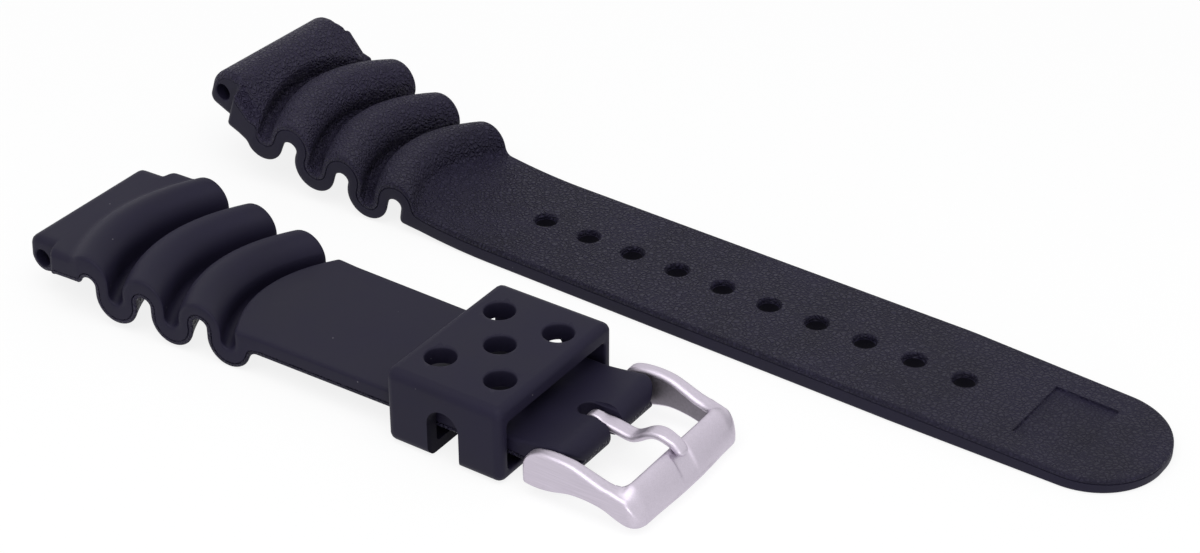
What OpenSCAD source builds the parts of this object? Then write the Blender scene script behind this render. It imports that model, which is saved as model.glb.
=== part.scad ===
// Two piece rubber watch strap: a short strap with buckle and keeper, and a long strap with holes.
// X runs along the short strap from the lug to the buckle, Z is up, and Z = 0 is the table top.
// The short strap lies with its smooth outer face up, the long one behind it with its inner face up.

/* [Lug end] */
// Width of the strap between the watch lugs
lug_w = 22; // [20:0.5:24]
// Radius of the rounded end round the watch's spring bar
lug_r = 2.35; // [2.2:0.05:2.6]
// The same radius on the long strap, whose inner side is thicker there
tail_lug_r = 3.7; // [3:0.1:3.8]
// Bore for the watch's spring bar
lug_bore_d = 2.5; // [1.8:0.1:2.6]
// Distance from the lug bore to the wider shoulder
shoulder_x = 2.9; // [2:0.1:3.4]
// Width of the shoulder, which hides the ends of the lugs
shoulder_w = 25.4; // [24:0.2:26]

/* [Ribs] */
// Distance from one rib crest to the next
rib_pitch = 9; // [8.6:0.2:10]
// Thickness of the rubber in the walls of the ribs
rib_wall = 2.3; // [2:0.1:2.5]
// Distance from the lug bore to the first crest, on the centre line
first_crest_x = 5.8; // [5.5:0.1:6.2]
// How far the ends of each rib trail behind its middle
rib_sag = 3.8; // [1:0.2:4]
// Height of the first crest above the table
first_crest_z = 9.6; // [9:0.05:9.8]
// How much lower each following crest is
crest_drop = 0.8; // [0.4:0.05:0.9]

/* [Short strap] */
// Distance from the lug bore to the buckle's spring bar
buckle_x = 82; // [76:0.5:90]
// Height of the underside of the flat band above the table
blade_z = 3.2; // [2.9:0.05:3.3]
// Thickness of the flat band
blade_t = 2.7; // [2.4:0.05:2.8]
// Width of the band where the ribs end
rib_end_w = 21; // [20.4:0.1:21.4]
// Play between the rolled end and each arm of the buckle
arm_play = 0.3; // [0.2:0.1:0.8]
// Radius of the roll round the buckle's spring bar
roll_r = 2.25; // [2.15:0.05:2.5]
// Bore for the buckle's spring bar
bar_bore_d = 2; // [1.9:0.05:2.1]
// Width of the slot that lets the tang swing
tang_slot_w = 3.2; // [3:0.1:3.6]

/* [Long strap] */
// Distance from the lug bore to the tip, along the strap
tail_length = 144.2; // [134:0.1:150]
// Width of the long band
tail_w = 20.8; // [19.6:0.1:21]
// Number of buckle holes
hole_count = 10; // [6:1:10]
// Distance from the lug bore to the first hole
first_hole_u = 50.3; // [50:0.1:52]
// Distance between the holes
hole_pitch = 7.35; // [6.5:0.05:7.5]
// Diameter of a buckle hole
hole_d = 2.8; // [2.6:0.1:3]
// Radius of the tip's two corners
tip_r = 9.4; // [6:0.1:10]
// Thickness of the band at its tip
tip_t = 1.8; // [1.5:0.1:2.2]
// Angle of the curl that lifts the ribbed end off the table
curl_angle = 21.5; // [14:0.5:22]
// Length of strap that the curl is spread over
curl_length = 36; // [34:0.5:38]

/* [Keeper] */
// Length of the keeper along the strap
keeper_l = 17.2; // [15:0.1:18]
// Outer width of the keeper
keeper_w = 24.4; // [23.8:0.1:25.2]
// Height of the keeper
keeper_h = 10.8; // [10.6:0.05:11.2]
// Thickness of its side walls
keeper_side = 1.7; // [1.3:0.1:1.7]
// Thickness of its top wall
keeper_top = 1.9; // [1.6:0.1:2]
// Thickness of its bottom wall
keeper_floor = 1.5; // [1.3:0.1:1.6]
// Distance from the lug bore to the middle of the keeper
keeper_x = 67.4; // [56:0.2:68]
// Diameter of its five holes
keeper_hole_d = 4.1; // [3:0.1:4.4]
// Width of the notch across its floor and sides
notch_w = 4.4; // [3.5:0.1:5]

/* [Buckle] */
// Inner width of the frame, which is the nominal strap size at the buckle
frame_in_w = 20; // [19.9:0.1:20.4]
// Outer width of the frame
frame_out_w = 23.8; // [23.8:0.1:25]
// Length from the spring bar to the outer edge of the front bar
frame_reach = 14; // [13:0.1:15]
// Width of the tang
tang_w = 2.4; // [2:0.1:2.8]
// Thickness of the tang
tang_t = 1; // [0.9:0.05:1.2]

/* [Spring bar] */
// Outer diameter of the tube
bar_d = 1.8; // [1.7:0.05:1.8]
// Diameter of the tips that enter the frame
tip_d = 0.9; // [0.8:0.05:0.95]

/* [Hidden] */

// Every part is drawn with the short strap's lug bore at X = 0, then moved so that
// the origin is under the middle of the whole set as it lies.
set_x = -67.8;
set_y = -20;

// Shape of the ribbed stretch, which both straps share
rib_count = 3;
rib_inner_r = (rib_pitch/2 - rib_wall)/2;
rib_outer_r = rib_inner_r + rib_wall;
belly_drop = 0.4;
floor_drop = 0.55;
hollow_drop = 0.35;
first_floor_z = blade_z + 0.6;
first_hollow_z = blade_z + 3.2;
arc_steps = 9;
cross_steps = 16;
lug_z = blade_z + 2.3;
plate_top_z = blade_z + 5.35;
plate_rise = 0.75;
plate_low_z = blade_z + 1.95;
taper_from = 6;
rib_end_x = 36.5;
edge_chamfer = 0.25;
seam = 0.03;

// Buckle and spring bar
bar_z = blade_z + blade_t/2;
frame_x = buckle_x + frame_reach;
buckle_end_w = frame_in_w - 2*arm_play;
tube_half = buckle_end_w/2 - 0.2;
tube_bore_r = 0.62;
tube_lip = 0.3;
head_r = 0.57;
head_l = 2.2;
ear_hole_r = tip_d/2 + 0.05;
ear_end_wall = 0.6;
ear_hole_depth = (frame_out_w - frame_in_w)/2 - ear_end_wall;
tip_end_gap = 0.2;
tip_reach = frame_in_w/2 + ear_hole_depth - tip_end_gap;

steel = [0.78, 0.75, 0.79];
rubber = [0.16, 0.155, 0.19];

// Points along an arc in the XZ plane, from angle a to angle b
function arc(cx, cz, r, a, b, steps) =
    [for (i = [0:steps]) let (t = a + (b - a)*i/steps) [cx + r*cos(t), cz + r*sin(t)]];

// Half the width of a strap at the distance x from the lug bore
function half_width(x, end_x, end_w) =
    x < taper_from ? shoulder_w/2
    : x < rib_end_x ? shoulder_w/2 + (rib_end_w - shoulder_w)/2*(x - taper_from)/(rib_end_x - taper_from)
    : rib_end_w/2 + (end_w - rib_end_w)/2*min(1, (x - rib_end_x)/(end_x - rib_end_x));

function crest_x(k) = first_crest_x + k*rib_pitch;
function crest_z(k) = first_crest_z - k*crest_drop;
function channel_floor_z(k) = first_floor_z - k*floor_drop;
function hollow_roof_z(k) = first_hollow_z - k*hollow_drop;
function belly_z(k) = (rib_count - 1 - k)*belly_drop;

// Outer face of the ribs on the centre line: over a crest, then down into a channel
outer_line = concat(
    [for (k = [0:rib_count - 1], part = [0, 1])
        each part == 0
            ? arc(crest_x(k), crest_z(k) - rib_outer_r, rib_outer_r, 180, 0, arc_steps)
            : arc(crest_x(k) + rib_pitch/2, channel_floor_z(k) + rib_inner_r, rib_inner_r, 180, 360,
                  arc_steps)],
    [[crest_x(rib_count - 0.5) + rib_inner_r, blade_z + blade_t - edge_chamfer],
     [crest_x(rib_count - 0.5) + rib_inner_r + edge_chamfer, blade_z + blade_t]]);

// Inner face: the hollow under a crest, then the belly under a channel
last_belly_end = -asin((rib_outer_r - blade_z)/rib_outer_r);
inner_line = concat(
    [for (k = [0:rib_count - 1], part = [0, 1])
        each part == 0
            ? arc(crest_x(k), hollow_roof_z(k) - rib_inner_r, rib_inner_r, 180, 0, arc_steps)
            : arc(crest_x(k) + rib_pitch/2, belly_z(k) + rib_outer_r, rib_outer_r, 180,
                  k < rib_count - 1 ? 360 : 360 + last_belly_end, arc_steps)],
    [[crest_x(rib_count - 0.5) + rib_outer_r + edge_chamfer, blade_z],
     [crest_x(rib_count - 0.5) + rib_outer_r + 2*edge_chamfer, blade_z]]);

// A point of a line, set at the fraction t of the half width from the centre
function ribbed_point(p, t) =
    let (x = p[0] + rib_sag) [p[0] + rib_sag*t*t, t*half_width(x, rib_end_x, rib_end_w), p[1]];
function end_point(z, t) = [rib_end_x, t*rib_end_w/2, z];

// The ribbed stretch as one closed skin: the lines above, repeated across the strap
module ribs(curled) {
    count = len(outer_line);
    row = 2*(count + 1);
    flat_points = [for (j = [0:cross_steps]) let (t = 2*j/cross_steps - 1)
        each concat([for (p = outer_line) ribbed_point(p, t)], [end_point(blade_z + blade_t, t)],
                    [for (p = inner_line) ribbed_point(p, t)], [end_point(blade_z, t)])];
    points = curled ? [for (p = flat_points) curled_point(p)] : flat_points;
    function quad(a, b, c, d) = [[a, b, c], [a, c, d]];
    skin = [for (j = [0:cross_steps - 1], i = [0:count - 1])
        let (a = j*row + i, b = a + row, c = a + count + 1, d = c + row)
        each concat(quad(a, b, b + 1, a + 1), quad(c, c + 1, d + 1, d))];
    sides = [for (i = [0:count - 1])
        let (a = i, c = a + count + 1, b = cross_steps*row + i, d = b + count + 1)
        each concat(quad(a, a + 1, c + 1, c), quad(b, d, d + 1, b + 1))];
    ends = [for (j = [0:cross_steps - 1])
        let (a = j*row, b = a + row, c = a + count + 1, d = c + row)
        each concat(quad(a, c, d, b), quad(a + count, b + count, d + count, c + count))];
    polyhedron(points, concat(skin, sides, ends));
}

// The lug end seen from the side, extruded across the strap
module lug_side(r) {
    round_end = 55;
    corner_r = 1.5;
    round_x = r - lug_r;
    round_z = lug_z - 0.25*round_x;
    far_x = first_crest_x + rib_sag;
    rotate([90, 0, 0])
        linear_extrude(height = shoulder_w + 2, center = true)
            polygon(concat(
                arc(round_x, round_z, r, -round_end, -180, 14),
                arc(corner_r + 0.1 - lug_r, plate_top_z - corner_r, corner_r, 180, 90, 5),
                [[taper_from, plate_top_z + plate_rise], [far_x, plate_top_z + plate_rise],
                 [far_x, plate_low_z], [1.4*r, plate_low_z - 0.25]]));
}

// The lug end seen from above: its far edge follows the curve of the first rib
module lug_plan() {
    edge_x = first_crest_x - rib_inner_r - 2*seam;
    far_edge = [for (j = [0:cross_steps]) let (t = 2*j/cross_steps - 1)
        [edge_x + rib_sag*t*t, t*half_width(edge_x + rib_sag, rib_end_x, rib_end_w)]];
    linear_extrude(height = 3*blade_z + blade_t)
        polygon(concat(
            [[-2*lug_r, lug_w/2], [-2*lug_r, -lug_w/2], [shoulder_x, -lug_w/2],
             [shoulder_x + 0.2, -shoulder_w/2]],
            far_edge,
            [[shoulder_x + 0.2, shoulder_w/2], [shoulder_x, lug_w/2]]));
}

// Lug end with its bore, before the ribs are joined to it
module lug_end(r) {
    difference() {
        intersection() {
            lug_side(r);
            lug_plan();
        }
        lug_bore();
    }
}

module lug_bore() {
    translate([0, 0, lug_z])
        rotate([90, 0, 0])
            cylinder(d = lug_bore_d, h = lug_w + 2, center = true, $fn = 48);
}

// Flat band of the short strap with its rolled end, seen from the side
module short_side() {
    roll_start = 60;
    ramp_x = buckle_x - 8;
    rotate([90, 0, 0])
        linear_extrude(height = rib_end_w + 2, center = true)
            polygon(concat(
                [[rib_end_x - 0.5, blade_z + seam], [ramp_x, blade_z + seam]],
                [[buckle_x - 3, blade_z - 0.3]],
                arc(buckle_x + 0.6, bar_z, roll_r, -180 + roll_start, 180 - roll_start, 18),
                [[buckle_x - 3, blade_z + blade_t + 0.3]],
                [[ramp_x, blade_z + blade_t - seam], [rib_end_x - 0.5, blade_z + blade_t - seam]]));
}

module short_plan() {
    corner = 0.6;
    end_x = buckle_x + roll_r + 1.6;
    linear_extrude(height = 3*blade_z)
        polygon([
            [rib_end_x - 0.5, -rib_end_w/2 + seam], [buckle_x, -buckle_end_w/2],
            [buckle_x + roll_r, -buckle_end_w/2], [end_x, -buckle_end_w/2 + corner + 1],
            [end_x, buckle_end_w/2 - corner - 1], [buckle_x + roll_r, buckle_end_w/2],
            [buckle_x, buckle_end_w/2], [rib_end_x - 0.5, rib_end_w/2 - seam]]);
}

module buckle_strap() {
    slot_start = buckle_x - 2.9;
    color(rubber) {
        lug_end(lug_r);
        ribs(false);
        difference() {
            intersection() {
                short_side();
                short_plan();
            }
            translate([buckle_x, 0, bar_z])
                rotate([90, 0, 0])
                    cylinder(d = bar_bore_d, h = buckle_end_w + 2, center = true, $fn = 48);
            translate([slot_start + tang_slot_w/2, 0, 0])
                cylinder(d = tang_slot_w, h = 3*blade_z, $fn = 48);
            translate([slot_start + tang_slot_w/2, -tang_slot_w/2, 0])
                cube([2*roll_r + tang_slot_w, tang_slot_w, 3*blade_z]);
        }
    }
}

// Long strap. Its ribbed end is drawn like the short one's, outer face up, then turned over and
// curled up along the strap, so that only the flat stretch lies on the table.
tail_flip_z = blade_z + blade_t;
curl_end = first_hole_u - hole_d/2 - 0.1;
curl_start = curl_end - curl_length;
curl_r = curl_length/(curl_angle*PI/180);
tail_turn = -1.9;
tail_bore_x = -1.9;
tail_bore_y = 40;
// Distance along the table from the lug bore to the end of the curl, once the end is lifted
curl_run = curl_start*cos(curl_angle) + (curl_r + lug_z - blade_z)*sin(curl_angle);

// Where a point of the flat ribbed end goes when it is turned over and curled
function curled_point(p) =
    let (back = curl_end - p[0], bent = min(back, curl_length), straight = back - bent,
         turn = bent/curl_r*180/PI, r = curl_r + p[2] - blade_z)
    [curl_end - r*sin(turn) - straight*cos(turn), -p[1],
     blade_t + curl_r - r*cos(turn) + straight*sin(turn)];

module lay_tail() {
    translate([tail_bore_x, tail_bore_y, 0])
        rotate([0, 0, tail_turn])
            translate([curl_run - curl_end, 0, 0])
                children();
}

// Turns the lug end over and lifts it to the start of the curl
module lift_lug() {
    translate([curl_end, 0, blade_t + curl_r])
        rotate([0, curl_angle, 0])
            translate([-curl_start, 0, tail_flip_z - blade_t - curl_r])
                rotate([180, 0, 0])
                    children();
}

// The stretch between the ribs and the first hole, bent with the same radius
module tail_curl() {
    turn = (curl_end - rib_end_x)/curl_r*180/PI;
    overlap = 0.15;
    translate([curl_end, 0, blade_t + curl_r])
        rotate([90, 0, 0])
            rotate([0, 0, -90 - turn - overlap])
                rotate_extrude(angle = turn + 2*overlap, $fn = 256)
                    translate([curl_r + seam, -tail_w/2 + seam])
                        square([blade_t - 2*seam, tail_w - 2*seam]);
}

module tail_band() {
    tip_u = tail_length - tip_r;
    tip_w = tail_w - 0.8;
    thin_u = 112;
    thin_angle = atan((blade_t - tip_t)/(tail_length - thin_u));
    panel_u = 126.5;
    panel = [8.6, 11.6];
    panel_depth = 0.3;
    difference() {
        linear_extrude(height = blade_t)
            polygon(concat(
                [[curl_end, tail_w/2], [curl_end, -tail_w/2], [thin_u, -tail_w/2]],
                arc(tip_u, tip_r - tip_w/2, tip_r, -90, 0, 10),
                arc(tip_u, tip_w/2 - tip_r, tip_r, 0, 90, 10),
                [[thin_u, tail_w/2]]));
        for (i = [0:hole_count - 1])
            translate([first_hole_u + i*hole_pitch, 0, -1])
                cylinder(d = hole_d, h = blade_t + 2, $fn = 32);
        // The band thins towards its tip, and a shallow panel is sunk in the sloping stretch
        translate([thin_u, 0, blade_t])
            rotate([0, thin_angle, 0]) {
                translate([0, -tail_w, 0])
                    cube([tail_length, 2*tail_w, blade_t]);
                translate([panel_u - thin_u, -panel[1]/2, -panel_depth])
                    cube([panel[0], panel[1], 1]);
            }
    }
}

module tail_strap() {
    color(rubber)
        lay_tail() {
            lift_lug()
                lug_end(tail_lug_r);
            ribs(true);
            tail_curl();
            tail_band();
        }
}

// Outline of a box with round corners, as points
function round_box(w, h, r, steps) = concat(
    arc(w/2 - r, h - r, r, 0, 90, steps), arc(r - w/2, h - r, r, 90, 180, steps),
    arc(r - w/2, r, r, 180, 270, steps), arc(w/2 - r, r, r, 270, 360, steps));

module keeper() {
    inner_w = keeper_w - 2*keeper_side;
    inner_h = keeper_h - keeper_top - keeper_floor;
    notch_top = blade_z + 4.1;
    hole_dx = 4.5;
    hole_dy = 6.2;
    color(rubber)
        translate([keeper_x, 0, 0])
            difference() {
                rotate([90, 0, 90])
                    linear_extrude(height = keeper_l, center = true)
                        polygon(round_box(keeper_w, keeper_h, 1.2, 6));
                translate([0, 0, keeper_floor])
                    rotate([90, 0, 90])
                        linear_extrude(height = keeper_l + 2, center = true)
                            polygon(round_box(inner_w, inner_h, 0.6, 4));
                for (p = [[0, 0], [1, 1], [1, -1], [-1, 1], [-1, -1]])
                    translate([p[0]*hole_dx, p[1]*hole_dy, keeper_h - keeper_top - 1])
                        cylinder(d = keeper_hole_d, h = keeper_top + 2, $fn = 48);
                translate([0, 0, notch_top - notch_w/2])
                    rotate([90, 0, 0])
                        cylinder(d = notch_w, h = keeper_w + 2, center = true, $fn = 48);
                translate([-notch_w/2, -keeper_w/2 - 1, -1])
                    cube([notch_w, keeper_w + 2, notch_top - notch_w/2 + 1]);
            }
}

// The buckle's side views are drawn for this reach, and grow and shrink with the real one
drawn_reach = 14;
function to_reach(points) = [for (p = points) p*frame_reach/drawn_reach];

// The frame seen from the side: leaf shaped arms, waisted before a tall sloping front bar
module frame_side() {
    top = [[-3, -0.1], [-2.8, 0.8], [-2.2, 1.6], [-1.2, 2.1], [0.4, 2.4], [2.2, 2.45], [4, 2.25],
           [6, 1.6], [8, 0.9], [9.5, 0.65], [10.3, 0.8], [10.8, 1], [11.2, 0.95], [11.7, 0.7]];
    front = [[12.3, 0.1], [12.9, -0.8], [13.4, -1.7], [14, -3.1]];
    low = [[13.7, -3.6], [12.6, -3.65], [10.6, -3.1], [8.6, -2.3], [6.4, -1.95], [3.8, -2],
           [1, -2.7], [-1, -2.95], [-2.8, -2.75], [-3, -2.1]];
    translate([buckle_x, 0, bar_z])
        rotate([90, 0, 0])
            linear_extrude(height = frame_out_w + 2, center = true)
                polygon(to_reach(concat(top, front, low)));
}

// The frame seen from above: arms that close in a little towards the front bar
module frame_plan() {
    nose_r = 3.6;
    nose_w = frame_out_w - 1.4;
    window_x = buckle_x + 0.735*frame_reach;
    back_x = buckle_x - 0.3*frame_reach;
    taper_x = buckle_x + 0.3*frame_reach;
    inner_taper_x = buckle_x + 0.35*frame_reach;
    linear_extrude(height = 4*blade_z)
        difference() {
            polygon(concat(
                [[back_x, frame_out_w/2], [back_x, -frame_out_w/2], [taper_x, -frame_out_w/2]],
                arc(frame_x - nose_r, nose_r - nose_w/2, nose_r, -80, 0, 8),
                arc(frame_x - nose_r, nose_w/2 - nose_r, nose_r, 0, 80, 8),
                [[taper_x, frame_out_w/2]]));
            polygon(concat(
                [[back_x - 1, frame_in_w/2], [back_x - 1, -frame_in_w/2], [inner_taper_x, -frame_in_w/2]],
                arc(window_x - 1, 1.6 - frame_in_w/2, 1, -80, 0, 4),
                arc(window_x - 1, frame_in_w/2 - 1.6, 1, 0, 80, 4),
                [[inner_taper_x, frame_in_w/2]]));
        }
}

module buckle_frame() {
    ear_y = frame_in_w/2 + ear_hole_depth/2;
    rest_w = 3.6;
    rest_l = 12;
    rest_depth = 0.35;
    rest_turn = 54;
    color(steel)
        difference() {
            intersection() {
                frame_side();
                frame_plan();
            }
            for (side = [-1, 1])
                translate([buckle_x, side*ear_y, bar_z])
                    rotate([90, 0, 0])
                        cylinder(r = ear_hole_r, h = ear_hole_depth, center = true, $fn = 32);
            // Shallow seat for the tang down the middle of the front bar
            translate([frame_x - 1.8, 0, bar_z + 0.25])
                rotate([0, rest_turn, 0])
                    translate([-rest_l/2, -rest_w/2, -rest_depth])
                        cube([rest_l, rest_w, roll_r]);
        }
}

// Points beside a line at the distance d, to its left when d is positive
function beside(line, d) = [for (i = [0:len(line) - 1])
    let (ahead = line[min(i + 1, len(line) - 1)] - line[max(i - 1, 0)])
    line[i] + d*[-ahead[1], ahead[0]]/norm(ahead)];

// Tang: a flat rod with a kink that lifts it over the front bar, and an eye round the tube
module tang() {
    eye_r = bar_bore_d/2 + 0.75;
    rod = to_reach([[1, 0.95], [3, 0.72], [4.8, 0.45], [5.7, 0.55], [6.6, 1.05], [7.6, 1.75], [8.6, 2.2],
                    [9.6, 2.25], [10.5, 1.96], [11.3, 1.6], [12.2, 1.15]]);
    color(steel)
        translate([buckle_x, 0, bar_z])
            rotate([90, 0, 0])
                difference() {
                    union() {
                        cylinder(r = eye_r, h = tang_w, center = true, $fn = 48);
                        linear_extrude(height = tang_w - 0.02, center = true)
                            polygon(concat(beside(rod, tang_t/2),
                                           [for (i = [1:len(rod)]) beside(rod, -tang_t/2)[len(rod) - i]]));
                    }
                    cylinder(d = bar_bore_d, h = tang_w + 1, center = true, $fn = 48);
                }
}

// Tube of the spring bar, with an inner bore and a lip at each end that holds the tips in
module spring_bar_tube() {
    color(steel)
        translate([buckle_x, 0, bar_z])
            rotate([90, 0, 0])
                difference() {
                    cylinder(d = bar_d, h = 2*tube_half, center = true, $fn = 48);
                    cylinder(r = tube_bore_r, h = 2*(tube_half - tube_lip), center = true, $fn = 32);
                    cylinder(r = tip_d/2 + 0.05, h = 2*tube_half + 1, center = true, $fn = 32);
                }
}

// One tip: a head that slides in the tube and a stem that enters the frame's ear
module spring_bar_tip(side) {
    head_end = tube_half - tube_lip - 0.02;
    color(steel)
        translate([buckle_x, 0, bar_z])
            rotate([-90*side, 0, 0]) {
                translate([0, 0, head_end - head_l])
                    cylinder(r = head_r, h = head_l, $fn = 32);
                translate([0, 0, head_end - 0.5])
                    cylinder(d = tip_d, h = tip_reach - head_end + 0.5, $fn = 32);
            }
}

module spring_bar_tip_left() {
    spring_bar_tip(1);
}

module spring_bar_tip_right() {
    spring_bar_tip(-1);
}

// Compression spring between the two heads, one wire swept along a helix
module spring_bar_spring() {
    wire_r = 0.11;
    coil_r = 0.42;
    turns = 15;
    rings = 8;
    sides = 6;
    half = tube_half - tube_lip - head_l - 0.02 - wire_r - 0.02;
    steps = turns*rings;
    lead = 2*half/turns;
    slope = atan(lead/(2*PI*coil_r));
    points = [for (i = [0:steps], k = [0:sides - 1])
        let (a = 360*i/rings, b = 360*k/sides, r = coil_r + wire_r*cos(b), lift = wire_r*sin(b))
        [r*cos(a) + lift*sin(slope)*sin(a), r*sin(a) - lift*sin(slope)*cos(a),
         -half + lead*i/rings + lift*cos(slope)]];
    skin = [for (i = [0:steps - 1], k = [0:sides - 1])
        let (a = i*sides + k, b = i*sides + (k + 1)%sides)
        each [[a, a + sides, b + sides], [a, b + sides, b]]];
    caps = [[for (k = [0:sides - 1]) k], [for (k = [0:sides - 1]) steps*sides + sides - 1 - k]];
    color(steel)
        translate([buckle_x, 0, bar_z])
            rotate([90, 0, 0])
                polyhedron(points, concat(skin, caps));
    echo(spring_gap_mm = lead*cos(slope) - 2*wire_r);
}

module set_out() {
    translate([set_x, set_y, 0])
        children();
}

set_out() buckle_strap();
set_out() tail_strap();
set_out() keeper();
set_out() buckle_frame();
set_out() tang();
set_out() spring_bar_tube();
set_out() spring_bar_tip_left();
set_out() spring_bar_tip_right();
set_out() spring_bar_spring();
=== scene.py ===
import math

import bmesh
import bpy
import numpy as np
from bpy.props import FloatProperty, FloatVectorProperty, IntProperty, PointerProperty, StringProperty
from bpy.types import Operator, Panel, PropertyGroup
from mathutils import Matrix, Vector


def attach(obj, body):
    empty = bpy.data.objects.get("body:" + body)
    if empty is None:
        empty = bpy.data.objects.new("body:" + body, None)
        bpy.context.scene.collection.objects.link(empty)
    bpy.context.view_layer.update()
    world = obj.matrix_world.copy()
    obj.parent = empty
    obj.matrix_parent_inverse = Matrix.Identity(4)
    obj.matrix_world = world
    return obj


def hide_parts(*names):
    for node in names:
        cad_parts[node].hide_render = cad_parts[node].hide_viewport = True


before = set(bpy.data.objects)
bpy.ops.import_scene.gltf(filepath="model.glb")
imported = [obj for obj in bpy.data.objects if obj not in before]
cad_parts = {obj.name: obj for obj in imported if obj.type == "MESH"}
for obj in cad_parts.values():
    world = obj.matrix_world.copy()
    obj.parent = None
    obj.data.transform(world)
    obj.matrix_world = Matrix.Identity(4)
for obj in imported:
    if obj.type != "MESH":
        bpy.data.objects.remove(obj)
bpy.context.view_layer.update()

bl_info = {
    "name": "Rubber watch strap",
    "version": (1, 0, 0),
    "blender": (4, 5, 0),
    "location": "3D View > Sidebar > Watch strap",
    "description": "A two piece ribbed rubber strap with a keeper and a steel pin buckle, on a pale table",
    "category": "Object",
}

# Lengths in the drawing functions are in millimetres; meshes are written in metres
MM = 0.001

# The drawings put the lug bore of the short strap at X = 0, and this moves them to the frame's origin
SET_X = -67.8
SET_Y = -20.0

# Short strap and long strap share one ribbed end. It is drawn lying flat with its outer face up
LUG_R = 2.35
TAIL_LUG_R = 3.7
LUG_Z = 5.5
TOP_CORNER = 1.5
TOP_CORNER_X = -0.75
PLATE_TOP = 8.55
PLATE_SLOPE = 0.03
PLATE_LOW = 5.15
SHOULDER_X = 2.9
LUG_HALF = 11.0
LUG_BORE_R = 1.25
SHOULDER_HALF = 12.7
SHOULDER_CORNER = 0.7
SHOULDER_LEDGE = 0.9
STEP_FROM = SHOULDER_X - 0.85
STEP_TO = SHOULDER_X + 0.85
# On the outer face's centre line the step ends sooner, so that the plate stays flat up to the bowed rib
STEP_CENTRE = 2.6
RIB_FOOT = 3.0
PITCH = 9.0
CREST_X = 5.8
CREST_Z = 9.6
CREST_DROP = 0.8
SAG = 3.8
SAG_FROM = 33.0
SAG_TO = 46.0
INNER_R = 1.1
OUTER_R = 3.4
# Undersides of the crests, floors of the channels and bellies under them change a little from rib to rib
HOLLOW_TOP = 6.4
HOLLOW_DROP = 0.35
CHANNEL_FLOOR = 3.8
CHANNEL_DROP = 0.55
BELLY_DROP = 0.4
LIP = 0.6
LIP_X = CREST_X - INNER_R - LIP
HOLLOW_START = 150
BAND_FROM = 33.5
RIB_END = 36.5
RIB_END_HALF = 10.5
BAND_LOW = 3.2
BAND_TOP = 5.9
BAND_T = BAND_TOP - BAND_LOW
GROOVE_HALF = 0.12
# Distance between cross sections of a strap, in its curves and where it runs straight
CURVE_STEP = 0.34
STRAIGHT_STEP = 0.8

# Buckle and its spring bar
BUCKLE_X = 82.0
BAR_Z = 4.55
BAR_BORE_R = 1.0
ROLL_R = 2.25
ROLL_X = BUCKLE_X + 0.6
ROLL_FROM = 76.0
ROLL_BEND = 77.29
ROLL_START = 100
ROLL_HALF = 9.7
ROLL_CORNER = 2.2
SLOT_X = 80.7
SLOT_R = 1.42

# Long strap, turned over and curled off the table from CURL_END back to its lug
TAIL_LENGTH = 144.2
TAIL_HALF = 10.4
TIP_HALF = 10.0
TIP_R = 9.4
TIP_T = 1.8
THIN_FROM = 112.0
FIRST_HOLE = 50.3
HOLE_PITCH = 7.35
PANEL_FROM = 126.5
PANEL_TO = 135.1
PANEL_HALF = 5.8
PANEL_DEPTH = 0.28
CURL_END = 48.8
CURL_LENGTH = 36.0
CURL_ANGLE = math.radians(21.5)
CURL_R = CURL_LENGTH / CURL_ANGLE
CURL_START = CURL_END - CURL_LENGTH
CURL_RUN = CURL_START * math.cos(CURL_ANGLE) + (CURL_R + LUG_Z - BAND_LOW) * math.sin(CURL_ANGLE)
TAIL_TURN = math.radians(-1.9)
TAIL_X = -1.9
TAIL_Y = 40.0


def linear(hex_colour):
    """An sRGB hex colour as linear RGBA."""
    values = [int(hex_colour[i:i + 2], 16) / 255 for i in (1, 3, 5)]
    return [v / 12.92 if v <= 0.04045 else ((v + 0.055) / 1.055) ** 2.4 for v in values] + [1.0]


class StrapSizes(PropertyGroup):
    edge_radius: FloatProperty(
        name="Edge radius", description="Rounding along every moulded edge of the straps",
        default=0.45 * MM, min=0.1 * MM, max=0.6 * MM, unit="LENGTH")
    groove_depth: FloatProperty(
        name="Parting groove", description="Depth of the groove where the two halves of the mould meet",
        default=0.18 * MM, min=0.0, max=0.2 * MM, unit="LENGTH")
    groove_from_face: FloatProperty(
        name="Groove from inner face", description="Distance from the inner face to the parting groove",
        default=0.75 * MM, min=0.4 * MM, max=1.2 * MM, unit="LENGTH")
    hole_diameter: FloatProperty(
        name="Buckle hole", description="Diameter of each buckle hole",
        default=2.8 * MM, min=2.4 * MM, max=3.2 * MM, unit="LENGTH")
    hole_flare: FloatProperty(
        name="Hole rim", description="Width of the flared rim round each buckle hole",
        default=0.3 * MM, min=0.0, max=0.5 * MM, unit="LENGTH")
    hole_count: IntProperty(
        name="Holes", description="Number of buckle holes", default=10, min=6, max=10)


class RubberFinish(PropertyGroup):
    rubber_colour: FloatVectorProperty(
        name="Rubber", description="Colour of the rubber", subtype="COLOR", size=3,
        default=linear("#1E1B2E")[:3], min=0.0, max=1.0)
    grain_size: FloatProperty(
        name="Grain", description="Size of one cell of the leather grain on the inner faces",
        default=0.62 * MM, min=0.2 * MM, max=2 * MM, unit="LENGTH")
    satin: FloatProperty(
        name="Satin roughness", description="Roughness of the smooth moulded faces",
        default=0.55, min=0.2, max=0.9, subtype="FACTOR")
    sheen_level: FloatProperty(
        name="Specular level", description="Strength of the rubber's own reflection",
        default=0.17, min=0.0, max=1.0, subtype="FACTOR")


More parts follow.
